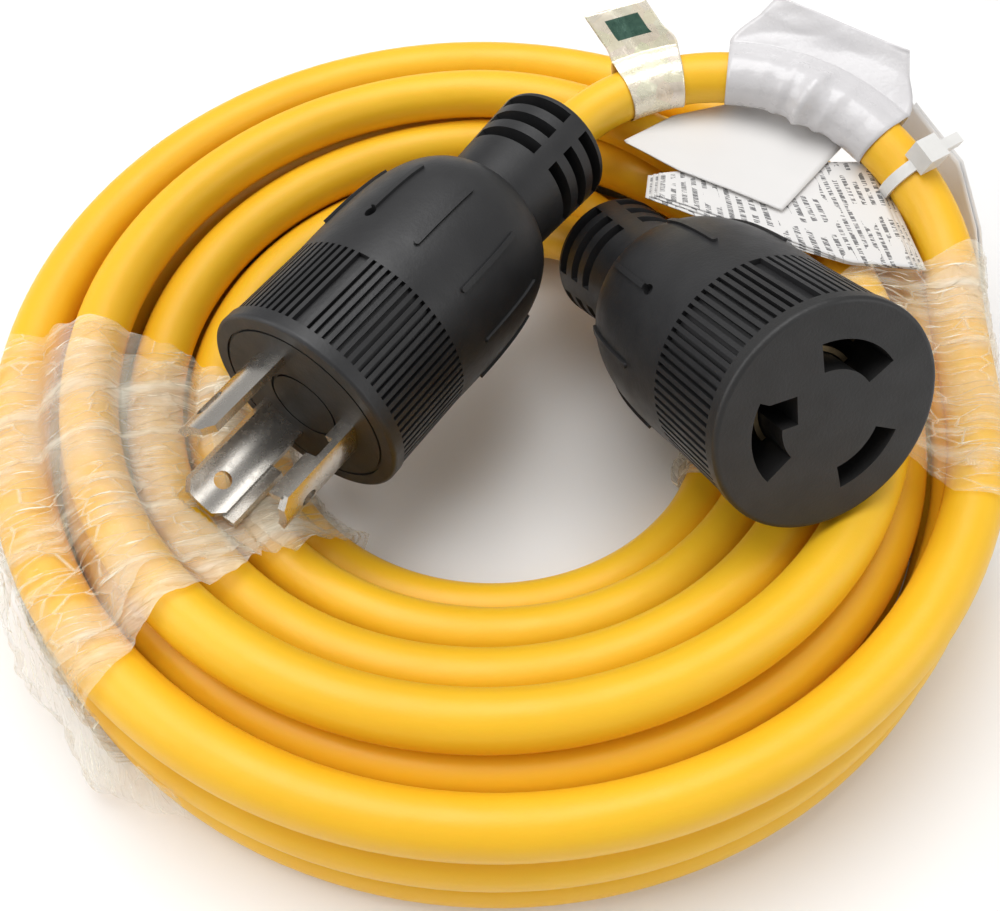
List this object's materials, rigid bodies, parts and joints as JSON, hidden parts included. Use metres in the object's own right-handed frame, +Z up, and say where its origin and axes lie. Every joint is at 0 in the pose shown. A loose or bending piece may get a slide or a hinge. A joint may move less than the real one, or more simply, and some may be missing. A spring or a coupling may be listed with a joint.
{
  "type": "shore power cord",
  "caption": "Coiled yellow three-core power cord with a black twist-lock plug and connector, film-wrapped, tied and labelled as sold.",
  "frame": {"origin": "on the floor at the coil's axis, which is the bottom centre of the whole object's box", "axes": "+Z up, out of the floor and along the coil's axis; +Y away from the side that the plug's blades and the connector's face point to; +X to the right, towards the connector"},
  "size_m": [0.196, 0.195, 0.0734],
  "materials": {
    "moulded_pvc_black": "soft moulded PVC, fine matt grain",
    "nylon_black": "hard moulded nylon, slightly smoother than the body",
    "cord_jacket_yellow": "smooth extruded vinyl jacket with a soft sheen",
    "nickel_plated_brass": "stamped and nickel plated, fine drawn grain",
    "spring_brass": "bright spring brass",
    "tinned_copper": "dull tin plate",
    "core_green": "glossy core insulation",
    "core_black": "glossy core insulation",
    "core_white": "glossy core insulation",
    "tie_nylon": "milky translucent nylon",
    "foil_tag": "laminated foil with a faint rainbow",
    "label_vinyl": "glossy laminated label, wrinkled where it wraps",
    "paper_white": "smooth printed paper",
    "stretch_film": "clear stretch film, crinkled"
  },
  "bodies": {
    "root": {"brand_card": "paper_white", "cable_tie": "tie_nylon", "connector_contact_base": "nylon_black", "connector_contact_ground": "spring_brass", "connector_contact_x": "spring_brass", "connector_contact_y": "spring_brass", "connector_core_ground": "core_green", "connector_core_x": "core_black", "connector_core_y": "core_white", "connector_crimp_ground": "tinned_copper", "connector_crimp_x": "tinned_copper", "connector_crimp_y": "tinned_copper", "connector_face_insert": "nylon_black", "connector_jacket_end": "cord_jacket_yellow", "connector_overmold": "moulded_pvc_black", "connector_strain_relief": "moulded_pvc_black", "cord_coil": "cord_jacket_yellow", "cord_tail_connector": "cord_jacket_yellow", "cord_tail_plug": "cord_jacket_yellow", "film_wrap_left": "stretch_film", "film_wrap_right": "stretch_film", "flag_label": "label_vinyl", "leaflet": "paper_white", "outdoor_tag": "foil_tag", "plug_blade_ground": "nickel_plated_brass", "plug_blade_x": "nickel_plated_brass", "plug_blade_y": "nickel_plated_brass", "plug_core_ground": "core_green", "plug_core_x": "core_black", "plug_core_y": "core_white", "plug_crimp_ground": "tinned_copper", "plug_crimp_x": "tinned_copper", "plug_crimp_y": "tinned_copper", "plug_face_insert": "nylon_black", "plug_jacket_end": "cord_jacket_yellow", "plug_overmold": "moulded_pvc_black", "plug_strain_relief": "moulded_pvc_black"}
  },
  "joints": []
}
